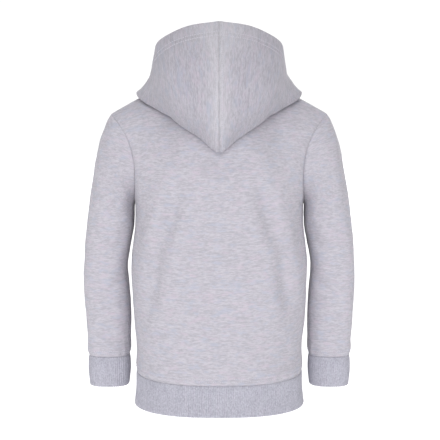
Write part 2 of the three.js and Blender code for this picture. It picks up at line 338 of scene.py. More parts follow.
def body_ring(half: Number, depth: Number, side: int, across: Number, z: Number) -> np.ndarray:
    """Points of the body's cross section.

    Args:
        half: half its width.
        depth: its depth to that side.
        side: 1 for the back, -1 for the front.
        across: from side seam (-1) to side seam (1).
        z: its height.
    Returns:
        The points.
    """
    turn = np.asarray(across) * np.pi / 2
    power = 2 / SQUARENESS
    sine, cosine = np.sin(turn), np.abs(np.cos(turn))
    return stack(half * np.sign(sine) * np.abs(sine) ** power, side * depth * cosine**power, z)


def armhole(cut: PanelCut, turn: np.ndarray) -> np.ndarray:
    """The armhole seam by its angle from the shoulder tip (0) to the armpit (pi)."""
    up = (1 + np.cos(turn)) / 2
    sweep = (SHOULDER_HALF - ARMPIT_HALF) * up**ARMHOLE_SWEEP
    return stack(
        ARMPIT_HALF + sweep - cut.armhole_scoop * np.sin(turn) ** 2,
        cut.side * cut.armhole_depth * np.sin(turn),
        mix(ARMPIT_Z, SHOULDER_TIP_Z, up),
    )


def panel_top(cut: PanelCut, away: np.ndarray) -> np.ndarray:
    """The neckline and shoulder seam of a panel, by share of the way from centre to shoulder tip."""
    turn = np.minimum(away / NECK_SHARE, 1) * np.pi / 2
    neck = stack(
        NECK_HALF * np.sin(turn),
        cut.side * cut.neck_depth * np.cos(turn),
        NECK_POINT_Z - cut.neck_drop * np.cos(turn),
    )
    share = np.clip((away - NECK_SHARE) / (1 - NECK_SHARE), 0, 1)
    shoulder = stack(
        mix(NECK_HALF, SHOULDER_HALF, share),
        0,
        mix(NECK_POINT_Z, SHOULDER_TIP_Z, share) + SHOULDER_ROUND * np.sin(share * np.pi),
    )
    return np.where((away <= NECK_SHARE)[..., None], neck, shoulder)


def panel_point(cut: PanelCut, across: Number, up: Number) -> np.ndarray:
    """Points of a panel's face.

    Args:
        cut: the back or the front.
        across: from side seam (-1) to side seam (1).
        up: from the hem seam (-1) past armpit height (0) to the neck and shoulders (1).
    Returns:
        The points.
    """
    across, up = np.broadcast_arrays(np.asarray(across, float), np.asarray(up, float))
    z = mix(HEM_SEAM_Z, ARMPIT_Z, np.minimum(up, 0) + 1)
    depth = BODY_ROWS.at(z, cut.depth)
    dip = HEM_DIP * np.cos(across * np.pi / 2) * np.minimum(up, 0) ** 4
    low = body_ring(BODY_ROWS.at(z, "half"), depth, cut.side, across, z - dip)

    away, rise = np.abs(across), np.clip(up, 0, 1)
    half = float(BODY_ROWS.at(ARMPIT_Z, "half"))
    deep = float(BODY_ROWS.at(ARMPIT_Z, cut.depth))

    def straight(share: np.ndarray) -> np.ndarray:
        """Straight from armpit height to the top edge, whose corners soften on the way."""
        foot = body_ring(half, deep, cut.side, share, ARMPIT_Z)
        reach = 0.2 * np.sqrt(1 - rise)
        shares = [np.clip(share + step * reach, 0, 1) for step in np.linspace(-1, 1, 7)]
        top = np.mean([panel_top(cut, near) for near in shares], axis=0)
        return mix(foot, top, rise[..., None])

    centre = stack(0, cut.side * cut.centre.at(rise, "y"), cut.centre.at(rise, "z"))
    centre_pull = centre - straight(np.zeros_like(away))
    arm_pull = armhole(cut, (1 - rise) * np.pi) - straight(np.ones_like(away))
    high = straight(away) + arm_pull * (away**ARMHOLE_PULL)[..., None]
    high = high + centre_pull * (1 - away * away)[..., None]
    high[..., 0] *= np.where(across < 0, -1, 1)
    return np.where((up <= 0)[..., None], low, high)


def squared(value: np.ndarray, power: Number) -> np.ndarray:
    """A sine or cosine that gives a squarer section than an oval's, at powers over 2."""
    return np.sign(value) * np.abs(value) ** (2 / power)


def sleeve_ring(at: Number, turn: np.ndarray) -> np.ndarray:
    """A tilted section of the left sleeve, by angle from its outer side."""
    rows = {name: SLEEVE_ROWS.at(at, name) for name in SLEEVE_ROWS.columns}
    power = 2 + SLEEVE_SQUARE * np.minimum(np.asarray(at) / ARMHOLE_FADE, 1)
    cosine, sine = squared(np.cos(turn), power), squared(np.sin(turn), power)
    share = np.maximum(1 - np.asarray(at) / ARMHOLE_FADE, 0) ** 2
    front = mix(1.0, FRONT.armhole_depth / BACK.armhole_depth, share)
    depth = rows["depth"] * np.where(np.sin(turn) >= 0, 1, front)
    return stack(
        (rows["out_x"] + rows["in_x"]) / 2 + (rows["out_x"] - rows["in_x"]) / 2 * cosine,
        depth * sine - rows["forward"],
        (rows["out_z"] + rows["in_z"]) / 2 + (rows["out_z"] - rows["in_z"]) / 2 * cosine,
    )


def sleeve_point(at: Number, turn: Number) -> np.ndarray:
    """Points of the left sleeve's face, from the armhole seam (0) to the cuff seam (10)."""
    at, turn = np.broadcast_arrays(np.asarray(at, float), np.asarray(turn, float))
    ring = sleeve_ring(at, turn)
    bent = np.abs(turn)
    seam = np.where(
        (np.sin(turn) >= 0)[..., None], armhole(BACK, bent), armhole(FRONT, bent)
    )
    flat = sleeve_ring(np.zeros_like(at), turn)
    share = np.maximum(1 - at / ARMHOLE_FADE, 0) ** 2
    ring[..., 0] += (seam[..., 0] + SEAM - flat[..., 0]) * share
    return ring


def under_hood(across: np.ndarray, over: np.ndarray) -> np.ndarray:
    """Points of the body under the hood, on the back where over is positive, else the front."""
    up = 1 - np.abs(over)
    behind = panel_point(BACK, across, up)
    return np.where((over >= 0)[..., None], behind, panel_point(FRONT, across, up))


def out_of_body(across: np.ndarray, over: np.ndarray) -> np.ndarray:
    """The direction straight out of the body, turned gradually over the shoulder seam."""
    step = 0.01
    up = np.minimum(1 - np.abs(over), 1 - step)

    def out(cut: PanelCut) -> np.ndarray:
        """The direction out of one panel."""
        sideways = panel_point(cut, across + step, up) - panel_point(cut, across - step, up)
        upwards = panel_point(cut, across, up + step) - panel_point(cut, across, up - step)
        return unit(np.cross(upwards, sideways) * cut.side)

    behind = ease(-SHOULDER_BLEND, SHOULDER_BLEND, over)[..., None]
    return unit(mix(out(FRONT), out(BACK), behind))


@dataclass(frozen=True)
class HoodSteps:
    """How finely each stretch of the hood's cloth is divided."""

    roll: int = 9
    fall: int = 8
    rest: int = 16
    fold: int = 14
    wall: int = 70

    @property
    def before_wall(self) -> int:
        """The number of rows that come before the outer wall's own."""
        return self.roll + 1 + self.fall + self.rest + self.fold


def hood_face(places: np.ndarray, steps: HoodSteps) -> Grid:
    """Points of the left hood panel's face, from the neck seam round the fold to the rim.

    Args:
        places: shares of the neck seam from the throat (0) to the nape (1), a column each.
        steps: how finely it is divided.
    Returns:
        A grid with a row for each step along the cloth.
    """
    row = {name: HOOD_ROWS.at(places, name) for name in HOOD_ROWS.columns}
    behind = places >= SHOULDER_AT
    seam = np.where(behind, (1 - places) / (1 - SHOULDER_AT), places / SHOULDER_AT)

    def across(share: Number) -> np.ndarray:
        """The place across the panel, that share of the way to the fold."""
        return mix(NECK_SHARE * seam, row["fold"], share)

    def over(share: Number) -> np.ndarray:
        """The place past the shoulder seam, that share of the way to the fold."""
        return mix(np.where(behind, 0.0, -TINY), row["over"], share)

    def raised(share: Number, height: Number) -> np.ndarray:
        """A point that far above the body."""
        upright = (1 - ease(0, ROLL_UPRIGHT, share))[..., None]
        out = mix(out_of_body(across(share), over(share)), np.array([0.0, 0.0, 1.0]), upright)
        lift = np.asarray(height)[..., None] * unit(out)
        return under_hood(across(share), over(share)) + lift

    none = np.zeros_like(places)
    fold_at = under_hood(across(none + 1), over(none + 1))
    length = np.linalg.norm(fold_at - under_hood(across(none), over(none)), axis=-1)
    reach = ROLL_REACH * np.minimum(length / ROLL_LENGTH, 1)
    rows = []
    for share in np.linspace(0, 1, steps.roll + 1):
        turn = share * np.pi / 2
        rows.append(raised(reach * (1 - np.cos(turn)) / length, SEAM + row["roll"] * np.sin(turn)))
    for share in np.linspace(0, 1, steps.fall + 1)[1:]:
        fall = (1 + np.cos(share * np.pi)) / 2
        height = mix(HOOD_REST, SEAM + row["roll"], fall)
        rows.append(raised(reach * (1 + 2 * share) / length, height))
    for share in np.linspace(0, 1, steps.rest + 1)[1:]:
        rows.append(raised(mix(3 * reach / length, 1, share), none + HOOD_REST))
    out = out_of_body(row["fold"], row["over"])
    onward = unit(fold_at - under_hood(across(none + 0.9), over(none + 0.9)))
    radius = row["radius"][:, None]
    middle = fold_at + out * (HOOD_REST + radius)
    for share in np.linspace(0, 1, steps.fold + 1)[1:]:
        turn = share * FOLD_TURN
        rows.append(middle - out * radius * np.cos(turn) + onward * radius * np.sin(turn))
    start = rows[-1]
    bulge = stack(row["bulge_x"], row["bulge_y"], row["bulge_z"])
    rim = stack(row["rim_x"], row["rim_y"], row["rim_z"])
    for share in np.linspace(0, 1, steps.wall + 1)[1:]:
        rows.append(mix(mix(start, bulge, share), mix(bulge, rim, share), share))
    return np.stack(rows)


# ---------------------------------------------------------------------------
# Walls of cloth
# ---------------------------------------------------------------------------


def face_normals(face: Grid, round_piece: bool, outward: int) -> Grid:
    """The direction out of the cloth at each point of a face.

    Args:
        face: the grid of points.
        round_piece: True where its last column meets its first.
        outward: 1 where columns crossed with rows point out, else -1.
    Returns:
        A grid of unit vectors.
    """
    if round_piece:
        along = np.roll(face, -1, axis=1) - np.roll(face, 1, axis=1)
    else:
        along = np.gradient(face, axis=1)
    return unit(np.cross(along, np.gradient(face, axis=0)) * outward)


def run_lengths(face: Grid, axis: int) -> np.ndarray:
    """Distances along a grid's rows or columns from the first point, in millimetres."""
    steps = np.linalg.norm(np.diff(face, axis=axis), axis=-1)
    total = np.cumsum(steps, axis=axis)
    start = np.zeros_like(np.take(total, [0], axis=axis))
    return np.concatenate([start, total], axis=axis)


def path_beside(face: Grid, normals: Grid, axis: int, distance: float, lift: float) -> np.ndarray:
    """A line over the cloth at a constant distance from one edge, for a row of stitches.

    Args:
        face: the grid of points, its edge of interest first along axis.
        normals: the directions out of it.
        axis: 0 to keep clear of the first row, 1 of the first column.
        distance: how far from that edge, in millimetres.
        lift: how far the line stands off the cloth.
    Returns:
        The line's points, in millimetres.
    """
    lengths = run_lengths(face, axis)
    if axis == 1:
        lengths, face, normals = lengths.T, face.swapaxes(0, 1), normals.swapaxes(0, 1)
    found = []
    for column in range(face.shape[1]):
        place = np.interp(distance, lengths[:, column], np.arange(len(lengths)))
        low = min(int(place), len(lengths) - 2)
        share = place - low
        at = mix(face[low, column], face[low + 1, column], share)
        out = mix(normals[low, column], normals[low + 1, column], share)
        found.append(at + out * lift)
    return np.array(found)


@dataclass
class Wall:
    """A closed wall of cloth behind a grid of face points, in millimetres.

    The flat coordinates of a round piece have one column more than its face, because its last
    column of cells ends on the first column of points.
    """

    face: Grid
    flat: np.ndarray
    thick: np.ndarray
    outward: int
    round_piece: bool = False
    last_edge: Edge = Edge.SEAM
    square: Optional[Callable[[Grid], Grid]] = None
    pale: Optional[np.ndarray] = None
    edge_steps: int = 5
    normals: Grid = field(init=False)

    def __post_init__(self) -> None:
        """Works out the directions out of the cloth."""
        self.normals = face_normals(self.face, self.round_piece, self.outward)
        if self.square is not None:
            self.normals = unit(self.square(self.normals))

    def lift(self, height: np.ndarray, settle: bool = True) -> None:
        """Moves the cloth out by a height at each point of its face.

        Args:
            height: the heights in millimetres.
            settle: whether the wall's back follows the new slopes, or lies as it lay.
        """
        self.face = self.face + self.normals * height[..., None]
        if not settle:
            return
        fresh = face_normals(self.face, self.round_piece, self.outward)
        self.normals = unit(self.square(fresh)) if self.square is not None else fresh

    def edge_rows(self, row: int, before: int, edge: Edge) -> list[np.ndarray]:
        """Points round a folded edge, from the face to the back of the cloth.

        Args:
            row: the face's row at the edge.
            before: the row next to it.
            edge: how it ends.
        Returns:
            The rows of points between the face's edge and the back's, none for a seam.
        """
        if edge is Edge.SEAM:
            return []
        half = self.thick[row][:, None] / 2
        middle = self.face[row] - self.normals[row] * half
        onward = unit(self.face[row] - self.face[before])
        turns = np.linspace(0, np.pi, self.edge_steps + 2)[1:-1]
        return [
            middle + half * (self.normals[row] * np.cos(turn) + onward * np.sin(turn))
            for turn in turns
        ]

    def mesh(self, name: str) -> bpy.types.Mesh:
        """The wall as a mesh, its back in the second material slot.

        Args:
            name: the mesh's name.
        Returns:
            The mesh, in metres, with its flat coordinates as a UV map.
        """
        count, columns = self.face.shape[:2]
        back = self.face - self.normals * self.thick[..., None]
        last_cap = self.edge_rows(-1, -2, self.last_edge)
        loop = [*self.face, *last_cap, *back[::-1]]
        flats = [*self.flat, *[self.flat[-1]] * len(last_cap), *self.flat[::-1]]
        points, flat = np.stack(loop), np.stack(flats)
        total = len(loop)
        index = np.arange(total * columns).reshape(total, columns)
        cells = columns if self.round_piece else columns - 1
        here = np.arange(cells)
        beside = (here + 1) % columns
        following = np.roll(index, -1, axis=0)
        quads = np.stack(
            [index[:, here], index[:, beside], following[:, beside], following[:, here]], -1
        ).reshape(-1, 4)
        onward = np.roll(flat, -1, axis=0)
        corner_flats = np.stack(
            [flat[:, here], flat[:, here + 1], onward[:, here + 1], onward[:, here]], axis=2
        ).reshape(-1, 2)
        behind = np.zeros((total, cells), bool)
        behind[count + len(last_cap) : 2 * count + len(last_cap) - 1] = True
        slots = behind.reshape(-1).astype(int).tolist()
        faces = (quads if self.outward > 0 else quads[:, ::-1]).tolist()
        if self.outward < 0:
            corner_flats = corner_flats.reshape(-1, 4, 2)[:, ::-1].reshape(-1, 2)
        corners = [corner_flats]
        if not self.round_piece:
            flats_at = flat.reshape(-1, 2)
            for column, sign in ((0, 1), (columns - 1, -1)):
                for side_face in self.side_faces(index, column, count, len(last_cap)):
                    turned = side_face[:: sign * self.outward]
                    faces.append(turned)
                    slots.append(0)
                    corners.append(flats_at[turned])
        mesh = bpy.data.meshes.new(name)
        mesh.from_pydata((points.reshape(-1, 3) * MM).tolist(), [], faces)
        uv = mesh.uv_layers.new(name=FLAT_UV)
        uv.data.foreach_set("uv", (np.concatenate(corners) * MM).astype(np.float32).ravel())
        mesh.polygons.foreach_set("material_index", slots)
        if self.pale is not None:
            pale = np.stack([*self.pale, *[self.pale[-1]] * len(last_cap), *self.pale[::-1]])
            layer = mesh.attributes.new(PALE, "FLOAT", "POINT")
            layer.data.foreach_set("value", pale.astype(np.float32).ravel())
        mesh.polygons.foreach_set("use_smooth", [True] * len(faces))
        mesh.update()
        return mesh

    @staticmethod
    def side_faces(index: np.ndarray, column: int, count: int, cap: int) -> list[list[int]]:
        """The faces that close one side of an open wall.

        Args:
            index: vertex numbers, a row for each step round the wall.
            column: the column at that side.
            count: the number of rows of the face.
            cap: the number of rows round the last edge.
        Returns:
            The faces as vertex numbers.
        """
        side = index[:, column]
        face_rows, back_rows = side[:count], side[count + cap : 2 * count + cap][::-1]
        found = [
            [int(v) for v in (face_rows[i], face_rows[i + 1], back_rows[i + 1], back_rows[i])]
            for i in range(count - 1)
        ]
        if cap:
            found.append([int(v) for v in side[count - 1 : count + cap + 1]])
        return found


def hump(distance: np.ndarray, width: float) -> np.ndarray:
    """A smooth hump, 1 where distance is 0."""
    return np.exp(-((distance / width) ** 2))


def seam_dip(distance: np.ndarray, width: float = 3.0, depth: float = 1.1) -> np.ndarray:
    """How far cloth sinks at a seam, by distance from it."""
    return -depth * hump(distance, width)


def smooth_steps(count: int) -> np.ndarray:
    """Places from -1 to 1 across a panel that lie about evenly on its squarish section."""
    s = np.abs(np.linspace(-1, 1, count + 1))
    spread = mix(s**1.2, 1 - (1 - s) ** 1.2, ease(0.3, 0.7, s))
    return spread * np.sign(np.linspace(-1, 1, count + 1))


# ---------------------------------------------------------------------------
# Finishes
# ---------------------------------------------------------------------------


def linear(red: float, green: float, blue: float) -> tuple[float, float, float, float]:
    """A colour of 0 to 255 a channel as the shader's linear values."""
    parts = [c / 255 for c in (red, green, blue)]
    values = [c / 12.92 if c <= 0.04045 else ((c + 0.055) / 1.055) ** 2.4 for c in parts]
    return (values[0], values[1], values[2], 1.0)


class Wire:
    """A value on its way through a material's nodes, on which arithmetic adds Math nodes."""

    def __init__(self, desk: "Desk", socket: Any) -> None:
        """Args:
        desk: the material being built.
        socket: the output that gives the value.
        """
        self.desk = desk
        self.socket = socket

    def __add__(self, other: Any) -> "Wire":
        """The sum."""
        return self.desk.math("ADD", self, other)

    __radd__ = __add__

    def __mul__(self, other: Any) -> "Wire":
        """The product."""
        return self.desk.math("MULTIPLY", self, other)

    __rmul__ = __mul__

    def __sub__(self, other: Any) -> "Wire":
        """The difference."""
        return self.desk.math("SUBTRACT", self, other)

    def __rsub__(self, other: Any) -> "Wire":
        """The difference the other way round."""
        return self.desk.math("SUBTRACT", other, self)

    def __truediv__(self, other: Any) -> "Wire":
        """The quotient."""
        return self.desk.math("DIVIDE", self, other)


class Desk:
    """A material being built."""

    def __init__(self, name: str) -> None:
        """Args:
        name: the material's name.
        """
        self.material = bpy.data.materials.new(name)
        self.material.use_nodes = True
        self.tree = self.material.node_tree
        self.shader = self.tree.nodes["Principled BSDF"]

    def node(
        self, kind: str, settings: dict[str, Any], sockets: dict[Union[str, int], Any]
    ) -> bpy.types.Node:
        """Adds any node.

        Args:
            kind: its type.
            settings: its properties, set first.
            sockets: values or wires for its inputs, by name or number.
        Returns:
            The node.
        """
        node = self.tree.nodes.new(kind)
        for key, value in settings.items():
            setattr(node, key, value)
        for key, value in sockets.items():
            self.feed(node.inputs[key], value)
        return node

    def feed(self, socket: Any, value: Any) -> None:
        """Links a wire to an input, or sets its value."""
        if isinstance(value, Wire):
            self.tree.links.new(value.socket, socket)
        else:
            socket.default_value = value

    def math(self, operation: str, *values: Any) -> Wire:
        """A Math node of that operation on wires or numbers."""
        settings = {"operation": operation}
        node = self.node("ShaderNodeMath", settings, dict(enumerate(values)))
        return Wire(self, node.outputs[0])

    def tint(self, share: Any, low: Any, high: Any, blend: str = "MIX") -> Wire:
        """A colour that far from low to high, by a mixing method."""
        settings = {"data_type": "RGBA", "blend_type": blend, "clamp_factor": True}
        node = self.node("ShaderNodeMix", settings, {0: share, 6: low, 7: high})
        return Wire(self, node.outputs[2])

    def flat(self) -> tuple[Wire, Wire]:
        """The piece's flat coordinates, in metres."""
        chart = self.node("ShaderNodeUVMap", {"uv_map": FLAT_UV}, {})
        split = self.node("ShaderNodeSeparateXYZ", {}, {0: Wire(self, chart.outputs[0])})
        return Wire(self, split.outputs[0]), Wire(self, split.outputs[1])

    def noise(self, x: Any, y: Any, detail: float = 2.0, rough: float = 0.5) -> Wire:
        """Noise between 0 and 1 over two coordinates, with about one spot a unit."""
        place = self.node("ShaderNodeCombineXYZ", {}, {0: x, 1: y, 2: 0.37})
        sockets = {"Vector": Wire(self, place.outputs[0]), "Scale": 1.0}
        sockets |= {"Detail": detail, "Roughness": rough}
        made = self.node("ShaderNodeTexNoise", {"noise_dimensions": "3D"}, sockets)
        return Wire(self, made.outputs[0])

    def attribute(self, name: str) -> Wire:
        """A number that the piece carries at each point."""
        node = self.node("ShaderNodeAttribute", {"attribute_name": name}, {})
        return Wire(self, node.outputs["Fac"])

    def between(self, value: Wire, low: float, high: float) -> Wire:
        """A value spread so that low becomes 0 and high becomes 1, held there."""
        settings = {"clamp": True, "interpolation_type": "SMOOTHSTEP"}
        sockets = {"Value": value, "From Min": low, "From Max": high}
        node = self.node("ShaderNodeMapRange", settings, sockets)
        return Wire(self, node.outputs[0])

    def nap(self, weight: float, rough: float, specular: float) -> None:
        """Sets the soft light that fibres catch, and how little the cloth shines."""
        self.shader.inputs["Sheen Weight"].default_value = weight
        self.shader.inputs["Sheen Roughness"].default_value = rough
        self.shader.inputs["Specular IOR Level"].default_value = specular

    def finish(self, colour: Wire, rough: Any, height: Wire, depth: float) -> bpy.types.Material:
        """Feeds the shader and gives the material.

        Args:
            colour: the base colour.
            rough: the roughness.
            height: the surface's small relief, 0 to 1.
            depth: the relief's depth in metres.
        Returns:
            The finished material.
        """
        bump = self.node(
            "ShaderNodeBump", {}, {"Height": height, "Distance": depth, "Strength": 1.0}
        )
        self.feed(self.shader.inputs["Base Color"], colour)
        self.feed(self.shader.inputs["Roughness"], rough)
        self.feed(self.shader.inputs["Normal"], Wire(self, bump.outputs[0]))
        return self.material


@dataclass(frozen=True)
class MarlKnit:
    """Brushed-back jersey of mixed pale grey and lilac yarns."""

    name: str
    light: Colour
    dark: Colour
    pink: Colour
    blue: Colour
    course: Course = Course.ACROSS
    wale_pitch: float = 1.25
    course_pitch: float = 1.0
    sheen: float = 0.25
    centre_paleness: float = 0.16

    def make(self) -> bpy.types.Material:
        """The finish as a material."""
        desk = Desk(self.name)
        u, v = desk.flat()
        along, up = (u, v) if self.course is Course.ACROSS else (v, u)
        waver = desk.noise(along * 70, up * 90, 1.0) * 0.0009
        up = up + waver
        fine = desk.noise(along * 190, up * 760, 3.0, 0.65)
        long = desk.noise(along * 90, up * 520, 2.0)
        blotch = desk.noise(along * 75, up * 190, 3.0, 0.65)
        blotch_two = desk.noise(along * 65 + 7.3, up * 170, 3.0, 0.65)
        streak = fine * 0.66 + long * 0.34
        shade = desk.between(streak, 0.37, 0.63)
        colour = desk.tint(shade, linear(*self.dark), linear(*self.light))
        pink = desk.between(blotch, 0.5, 0.68) * 0.5
        colour = desk.tint(pink, colour, linear(*self.pink))
        blue = desk.between(blotch_two, 0.5, 0.68) * 0.5
        colour = desk.tint(blue, colour, linear(*self.blue))
        # Lightens the colour towards white where the piece carries a pale share, along the hood's
        # centre seam.
        pale = desk.attribute(PALE) * self.centre_paleness
        colour = desk.tint(pale, colour, WHITE)
        across = desk.math("PINGPONG", along / (self.wale_pitch * MM), 0.5) * 2
        rising = up / (self.course_pitch * MM) + across * 0.55
        loop = desk.math("PINGPONG", rising, 0.5) * 2
        groove = desk.between(across, 0.02, 0.3)
        knit = groove * (0.45 + loop * 0.55)
        fuzz = desk.noise(u * 2600, v * 2600, 3.0, 0.7)
        height = knit * 0.5 + shade * 0.3 + fuzz * 0.45
        deep = desk.tint(0.16, colour, knit_shadow(desk, knit), "MULTIPLY")
        desk.nap(self.sheen, 0.45, 0.2)
        return desk.finish(deep, 0.94 - shade * 0.06, height, 0.00032)


def knit_shadow(desk: Desk, knit: Wire) -> Wire:
    """A grey that is dark between the loops of the knitting."""
    return desk.tint(knit, LOOP_SHADOW, WHITE)


@dataclass(frozen=True)
class BrushedBack:
    """The raised inner side of the jersey."""

    name: str
    light: Colour
    dark: Colour

    def make(self) -> bpy.types.Material:
        """The finish as a material."""
        desk = Desk(self.name)
        u, v = desk.flat()
        tuft = desk.noise(u * 420, v * 420, 4.0, 0.65)
        cloud = desk.noise(u * 60, v * 60, 2.0)
        shade = desk.between(tuft * 0.6 + cloud * 0.4, 0.3, 0.7)
        colour = desk.tint(shade, linear(*self.dark), linear(*self.light))
        fuzz = desk.noise(u * 1800, v * 1800, 3.0, 0.7)
        desk.nap(0.4, 0.5, 0.15)
        return desk.finish(colour, 0.97 - shade * 0.03, tuft * 0.6 + fuzz * 0.4, 0.0005)


@dataclass(frozen=True)
class RibKnit:
    """Speckled ribbing, its ribs running along the flat coordinates' height."""

    name: str
    light: Colour
    dark: Colour
    speck: Colour
    pitch: float

    def make(self) -> bpy.types.Material:
        """The finish as a material."""
        desk = Desk(self.name)
        u, v = desk.flat()
        speckle = desk.noise(u * 620, v * 420, 3.0, 0.65)
        soft = desk.noise(u * 90, v * 60, 2.0)
        shade = desk.between(speckle * 0.9 + soft * 0.1, 0.32, 0.68)
        colour = desk.tint(shade, linear(*self.dark), linear(*self.light))
        specks = desk.between(desk.noise(u * 640 + 3.1, v * 380, 2.0, 0.6), 0.58, 0.72)
        colour = desk.tint(specks * 0.35, colour, linear(*self.speck))
        turn = u / (self.pitch * MM)
        rib = desk.math("PINGPONG", turn, 0.5) * 2
        loop = desk.math("PINGPONG", v / (1.1 * MM) + rib * 0.5, 0.5) * 2
        groove = desk.between(rib, 0.0, 0.42)
        valley = knit_shadow(desk, 0.35 + groove * 0.65)
        deep = desk.tint(0.2, colour, valley, "MULTIPLY")
        fuzz = desk.noise(u * 2600, v * 2600, 3.0, 0.7)
        height = groove * 0.4 + loop * groove * 0.3 + fuzz * 0.4
        desk.nap(0.22, 0.45, 0.2)
        return desk.finish(deep, 0.95 - shade * 0.06, height, 0.00035)


@dataclass(frozen=True)
class SewingThread:
    """Pale spun thread."""

    name: str
    light: Colour
    dark: Colour

    def make(self) -> bpy.types.Material:
        """The finish as a material."""
        desk = Desk(self.name)
        where = desk.node("ShaderNodeTexCoord", {}, {})
        split = desk.node("ShaderNodeSeparateXYZ", {}, {0: Wire(desk, where.outputs["Object"])})
        x, y, z = (Wire(desk, split.outputs[i]) for i in range(3))
        twist = desk.noise(x * 900 + y * 900, z * 1500, 2.0)
        colour = desk.tint(twist, linear(*self.dark), linear(*self.light))
        desk.shader.inputs["Sheen Weight"].default_value = 0.15
        return desk.finish(colour, 0.75 + twist * 0.1, twist, 0.0001)


# ---------------------------------------------------------------------------
# Stitching
# ---------------------------------------------------------------------------


@dataclass(frozen=True)
class Sewing:
    """The sizes of a row of machine stitches, in millimetres."""

    pitch: float = 3.1
    length: float = 2.5
    radius: float = 0.42
    flatness: float = 0.75


class StitchTree:
    """The geometry nodes that lay a stitch at each step along a piece's paths."""

    def __init__(self, thread: bpy.types.Material) -> None:
        """Args:
        thread: the stitches' finish.
        """
        self.thread = thread
        self.tree = bpy.data.node_groups.new("row_of_stitches", "GeometryNodeTree")
        self.keys: dict[str, str] = {}
        self.lay_out()

    def socket(self, name: str, kind: str, way: str = "INPUT") -> None:
        """Adds a named socket to the tree and remembers its identifier."""
        made = self.tree.interface.new_socket(name, in_out=way, socket_type=kind)
        self.keys[name] = made.identifier

    def add(self, kind: str, settings: Optional[dict[str, Any]] = None) -> bpy.types.Node:
        """Adds a node with its settings."""
        node = self.tree.nodes.new(kind)
        for key, value in (settings or {}).items():
            setattr(node, key, value)
        return node

    def lay_out(self) -> None:
        """Makes the sockets, nodes and links."""
        self.socket("Paths", "NodeSocketGeometry")
        for name in ("Pitch", "Length", "Radius", "Flatness"):
            self.socket(name, "NodeSocketFloat")
        self.socket("Thread", "NodeSocketMaterial")
        self.socket("Stitches", "NodeSocketGeometry", "OUTPUT")
        join = self.tree.links.new
        given = self.add("NodeGroupInput").outputs
        curve = self.add("GeometryNodeMeshToCurve")
        spaced = self.add("GeometryNodeResampleCurve", {"mode": "LENGTH"})
        join(given["Paths"], curve.inputs["Mesh"])
        join(curve.outputs["Curve"], spaced.inputs["Curve"])
        join(given["Pitch"], spaced.inputs["Length"])
        bead = self.add("GeometryNodeMeshUVSphere")
        bead.inputs["Segments"].default_value = 6
        bead.inputs["Rings"].default_value = 5
        bead.inputs["Radius"].default_value = 1.0
        half = self.add("ShaderNodeMath", {"operation": "MULTIPLY"})
        half.inputs[1].default_value = 0.5
        join(given["Length"], half.inputs[0])
        low = self.add("ShaderNodeMath", {"operation": "MULTIPLY"})
        join(given["Radius"], low.inputs[0])
        join(given["Flatness"], low.inputs[1])
        size = self.add("ShaderNodeCombineXYZ")
        join(half.outputs[0], size.inputs["X"])
        join(given["Radius"], size.inputs["Y"])
        join(low.outputs[0], size.inputs["Z"])
        shaped = self.add("GeometryNodeTransform")
        join(bead.outputs["Mesh"], shaped.inputs["Geometry"])
        join(size.outputs[0], shaped.inputs["Scale"])
        tangent = self.add("GeometryNodeInputTangent")
        turned = self.add("FunctionNodeAlignRotationToVector", {"axis": "X"})
        join(tangent.outputs["Tangent"], turned.inputs["Vector"])
        jitter = self.add("FunctionNodeRandomValue", {"data_type": "FLOAT"})
        jitter.inputs["Seed"].default_value = 11
        jitter.inputs[2].default_value = 0.9
        jitter.inputs[3].default_value = 1.08
        laid = self.add("GeometryNodeInstanceOnPoints")
        join(spaced.outputs["Curve"], laid.inputs["Points"])
        join(shaped.outputs["Geometry"], laid.inputs["Instance"])
        join(turned.outputs["Rotation"], laid.inputs["Rotation"])
        join(jitter.outputs[1], laid.inputs["Scale"])
        real = self.add("GeometryNodeRealizeInstances")
        join(laid.outputs["Instances"], real.inputs["Geometry"])
        dressed = self.add("GeometryNodeSetMaterial")
        join(real.outputs["Geometry"], dressed.inputs["Geometry"])
        join(given["Thread"], dressed.inputs["Material"])
        join(dressed.outputs["Geometry"], self.add("NodeGroupOutput").inputs["Stitches"])

    def sew(self, name: str, paths: Sequence[np.ndarray], sewing: Sewing) -> bpy.types.Object:
        """Lays stitches along paths and gives them as one plain mesh.

        Args:
            name: the piece's name.
            paths: the rows of stitches, as points in millimetres.
            sewing: the stitches' sizes.
        Returns:
            The piece.
        """
        points = [tuple(at * MM) for path in paths for at in path]
        edges, start = [], 0
        for path in paths:
            edges += [(start + i, start + i + 1) for i in range(len(path) - 1)]
            start += len(path)
        guide = bpy.data.meshes.new(name + "_paths")
        guide.from_pydata(points, edges, [])
        piece = new_object(name, guide)
        laying = piece.modifiers.new("stitches", "NODES")
        laying.node_group = self.tree
        laying[self.keys["Pitch"]] = sewing.pitch * MM
        laying[self.keys["Length"]] = sewing.length * MM
        laying[self.keys["Radius"]] = sewing.radius * MM
        laying[self.keys["Flatness"]] = sewing.flatness
        laying[self.keys["Thread"]] = self.thread
        graph = bpy.context.evaluated_depsgraph_get()
        mesh = bpy.data.meshes.new_from_object(piece.evaluated_get(graph), depsgraph=graph)
        piece.modifiers.clear()
        piece.data = mesh
        mesh.name = name
        mesh.polygons.foreach_set("use_smooth", [True] * len(mesh.polygons))
        if not mesh.materials:
            mesh.materials.append(self.thread)
        bpy.data.meshes.remove(guide)
        return piece


def new_object(name: str, mesh: bpy.types.Mesh) -> bpy.types.Object:
    """Puts a mesh into the scene under that name."""
    made = bpy.data.objects.new(name, mesh)
    bpy.context.scene.collection.objects.link(made)
    return made


# ---------------------------------------------------------------------------
# Pieces
# ---------------------------------------------------------------------------


@dataclass(frozen=True)
class FlatCut:
    """A piece of cloth as it was cut, in millimetres and square metres."""

    width: float
    length: float
    area: float


